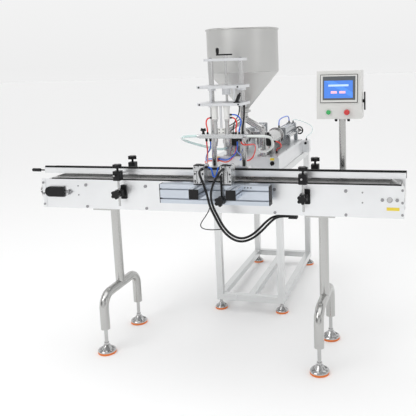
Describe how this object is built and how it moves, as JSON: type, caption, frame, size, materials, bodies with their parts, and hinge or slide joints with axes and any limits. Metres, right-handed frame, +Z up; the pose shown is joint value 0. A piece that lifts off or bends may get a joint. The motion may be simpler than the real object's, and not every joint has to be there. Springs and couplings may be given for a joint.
{
  "type": "two-nozzle filling machine with conveyor",
  "caption": "Piston filling machine for liquids: slat-chain conveyor with guide rails, nozzle portal over the lane, hopper and filler unit behind, and an operator panel on a pole.",
  "frame": {"origin": "middle of the footprint on the floor, without the cords", "axes": "+X along the conveyor towards its drive end, +Y away from the operator, +Z up"},
  "size_m": [2.094, 1.7979, 1.777],
  "materials": {
    "anodised": "anodised",
    "black_hose": "matte",
    "black_plastic": "matte",
    "clamp_black": "anodised black",
    "clear_hose": "translucent",
    "green_cap": "gloss",
    "machined": "machined",
    "motor_grey": "painted",
    "orange_rubber": "matte",
    "panel_grey": "fine texture",
    "polished_steel": "polished",
    "red_cap": "gloss",
    "red_tube": "gloss",
    "slats": "worn satin",
    "stainless_sheet": "satin",
    "stainless_tube": "polished",
    "wear_plastic": "matte",
    "zinc_bolts": "plain"
  },
  "bodies": {
    "machine_frame": {"air_tube_red": "red_tube", "black_hose_left": "black_hose", "black_hose_right": "black_hose", "casing": "stainless_sheet", "drive_cylinders": "machined", "end_strips": "stainless_sheet", "filler_frame": "stainless_tube", "filling_cylinders": "polished_steel", "foot_pads": "orange_rubber", "frame_bolts": "zinc_bolts", "front_side_plate": "stainless_sheet", "gear_motor": "motor_grey", "hopper": "stainless_sheet", "leg_left": "stainless_tube", "leg_right": "stainless_tube", "levelling_feet": "polished_steel", "panel_pole": "stainless_tube", "portal_frame": "machined", "product_hose_left": "clear_hose", "product_hose_right": "clear_hose", "product_manifold": "polished_steel", "profile_beam": "anodised", "profile_caps": "black_plastic", "rail_brackets": "black_plastic", "rear_side_plate": "stainless_sheet", "sensor_cable": "black_hose", "shaft_bearings": "black_plastic", "slat_chain": "slats", "spreader_bars": "stainless_tube", "stop_cylinders": "machined", "takeup_covers": "black_plastic", "wear_strips": "wear_plastic"},
    "drive_wheels": {"drive_shaft": "polished_steel"},
    "tail_wheels": {"tail_shaft": "polished_steel"},
    "front_posts": {"front_rail_posts": "clamp_black"},
    "front_guide": {"front_rail": "stainless_sheet", "rail_sensor": "black_plastic"},
    "rear_posts": {"rear_rail_posts": "clamp_black"},
    "rear_guide": {"rear_rail": "stainless_sheet"},
    "post_knob_left": {"post_knob_left": "black_plastic"},
    "post_knob_right": {"post_knob_right": "black_plastic"},
    "top_knob_left": {"top_knob_left": "black_plastic"},
    "top_knob_right": {"top_knob_right": "black_plastic"},
    "rear_knob_left": {"rear_knob_left": "black_plastic"},
    "rear_knob_right": {"rear_knob_right": "black_plastic"},
    "beam_knob": {"beam_knob": "black_plastic"},
    "stop_rod_left": {"stop_rod_left": "machined"},
    "stop_rod_right": {"stop_rod_right": "machined"},
    "crank": {"nozzle_crank": "black_plastic"},
    "nozzle_lift": {"lift_carriage": "machined", "nozzle_cylinders": "machined", "filling_nozzles": "polished_steel", "nozzle_crossbar": "machined"},
    "pistons": {"piston_yoke": "polished_steel"},
    "stroke_wheel": {"stroke_handwheel": "black_plastic"},
    "selector": {"selector_knob": "black_plastic"},
    "panel": {"panel_box": "panel_grey"},
    "green_button": {"green_button": "green_cap"},
    "red_button": {"red_button": "red_cap"},
    "panel_latch": {"panel_latch": "black_plastic"}
  },
  "joints": [
    {"name": "drive_spin", "type": "hinge", "parent": "machine_frame", "child": "drive_wheels", "pos_m": [0.97, -0.584, 0.89323], "axis": [0, 1, 0], "continuous": true, "deforming": ["slat_chain"]},
    {"name": "tail_spin", "type": "hinge", "parent": "machine_frame", "child": "tail_wheels", "pos_m": [-0.9096, -0.584, 0.89323], "axis": [0, 1, 0], "continuous": true},
    {"name": "front_rail_lift", "type": "slide", "parent": "machine_frame", "child": "front_posts", "axis": [0, 0, 1], "range_m": [-0.015, 0.012]},
    {"name": "front_rail_reach", "type": "slide", "parent": "front_posts", "child": "front_guide", "axis": [0, 1, 0], "range_m": [-0.025, 0.03]},
    {"name": "rear_rail_lift", "type": "slide", "parent": "machine_frame", "child": "rear_posts", "axis": [0, 0, 1], "range_m": [-0.003, 0.025]},
    {"name": "rear_rail_reach", "type": "slide", "parent": "rear_posts", "child": "rear_guide", "axis": [0, 1, 0], "range_m": [-0.03, 0.02]},
    {"name": "post_knob_left_turn", "type": "hinge", "parent": "machine_frame", "child": "post_knob_left", "pos_m": [-0.464, -0.7403, 0.90123], "axis": [0, -1, 0], "continuous": true},
    {"name": "top_knob_left_turn", "type": "hinge", "parent": "front_posts", "child": "top_knob_left", "pos_m": [-0.464, -0.729, 1.0233], "axis": [0, 0, 1], "continuous": true},
    {"name": "post_knob_right_turn", "type": "hinge", "parent": "machine_frame", "child": "post_knob_right", "pos_m": [0.549, -0.7403, 0.90123], "axis": [0, -1, 0], "continuous": true},
    {"name": "top_knob_right_turn", "type": "hinge", "parent": "front_posts", "child": "top_knob_right", "pos_m": [0.549, -0.729, 1.0233], "axis": [0, 0, 1], "continuous": true},
    {"name": "rear_knob_left_turn", "type": "hinge", "parent": "rear_posts", "child": "rear_knob_left", "pos_m": [-0.52, -0.439, 1.0233], "axis": [0, 0, 1], "continuous": true},
    {"name": "rear_knob_right_turn", "type": "hinge", "parent": "rear_posts", "child": "rear_knob_right", "pos_m": [0.561, -0.439, 1.0233], "axis": [0, 0, 1], "continuous": true},
    {"name": "beam_knob_turn", "type": "hinge", "parent": "machine_frame", "child": "beam_knob", "pos_m": [0.145, -0.8153, 0.897], "axis": [0, -1, 0], "continuous": true},
    {"name": "stop_left_stroke", "type": "slide", "parent": "machine_frame", "child": "stop_rod_left", "axis": [0, 1, 0], "range_m": [0, 0.06]},
    {"name": "stop_right_stroke", "type": "slide", "parent": "machine_frame", "child": "stop_rod_right", "axis": [0, 1, 0], "range_m": [0, 0.06]},
    {"name": "crank_turn", "type": "hinge", "parent": "machine_frame", "child": "crank", "pos_m": [0.085, -0.469, 1.603], "axis": [0, 0, 1], "range_deg": [-721, 3601]},
    {"name": "nozzle_lift", "type": "slide", "parent": "machine_frame", "child": "nozzle_lift", "axis": [0, 0, 1], "range_m": [-0.02, 0.1]},
    {"name": "piston_stroke", "type": "slide", "parent": "machine_frame", "child": "pistons", "axis": [0, 1, 0], "range_m": [0, 0.1]},
    {"name": "stroke_wheel_turn", "type": "hinge", "parent": "machine_frame", "child": "stroke_wheel", "pos_m": [0.225, 0.816, 1.06], "axis": [0, 1, 0], "continuous": true},
    {"name": "selector_turn", "type": "hinge", "parent": "machine_frame", "child": "selector", "pos_m": [0.238, -0.104, 0.966], "axis": [0, -1, 0], "range_deg": [-45, 45]},
    {"name": "panel_swivel", "type": "hinge", "parent": "machine_frame", "child": "panel", "pos_m": [0.713, -0.4545, 1.275], "axis": [0, 0, 1], "range_deg": [-60, 60]},
    {"name": "green_press", "type": "slide", "parent": "panel", "child": "green_button", "axis": [0, 1, 0], "range_m": [0, 0.004], "stiffness_N_per_m": 400, "springref_m": -0.003},
    {"name": "red_press", "type": "slide", "parent": "panel", "child": "red_button", "axis": [0, 1, 0], "range_m": [0, 0.004], "stiffness_N_per_m": 500, "springref_m": -0.003},
    {"name": "latch_turn", "type": "hinge", "parent": "panel", "child": "panel_latch", "pos_m": [0.819, -0.457, 1.363], "axis": [1, 0, 0], "range_deg": [-90, 90]}
  ],
  "couplings": [
    {"joint": "tail_spin", "follows": "drive_spin", "ratio": 1},
    {"joint": "crank_turn", "follows": "nozzle_lift", "rad_per_m": 628.32}
  ]
}
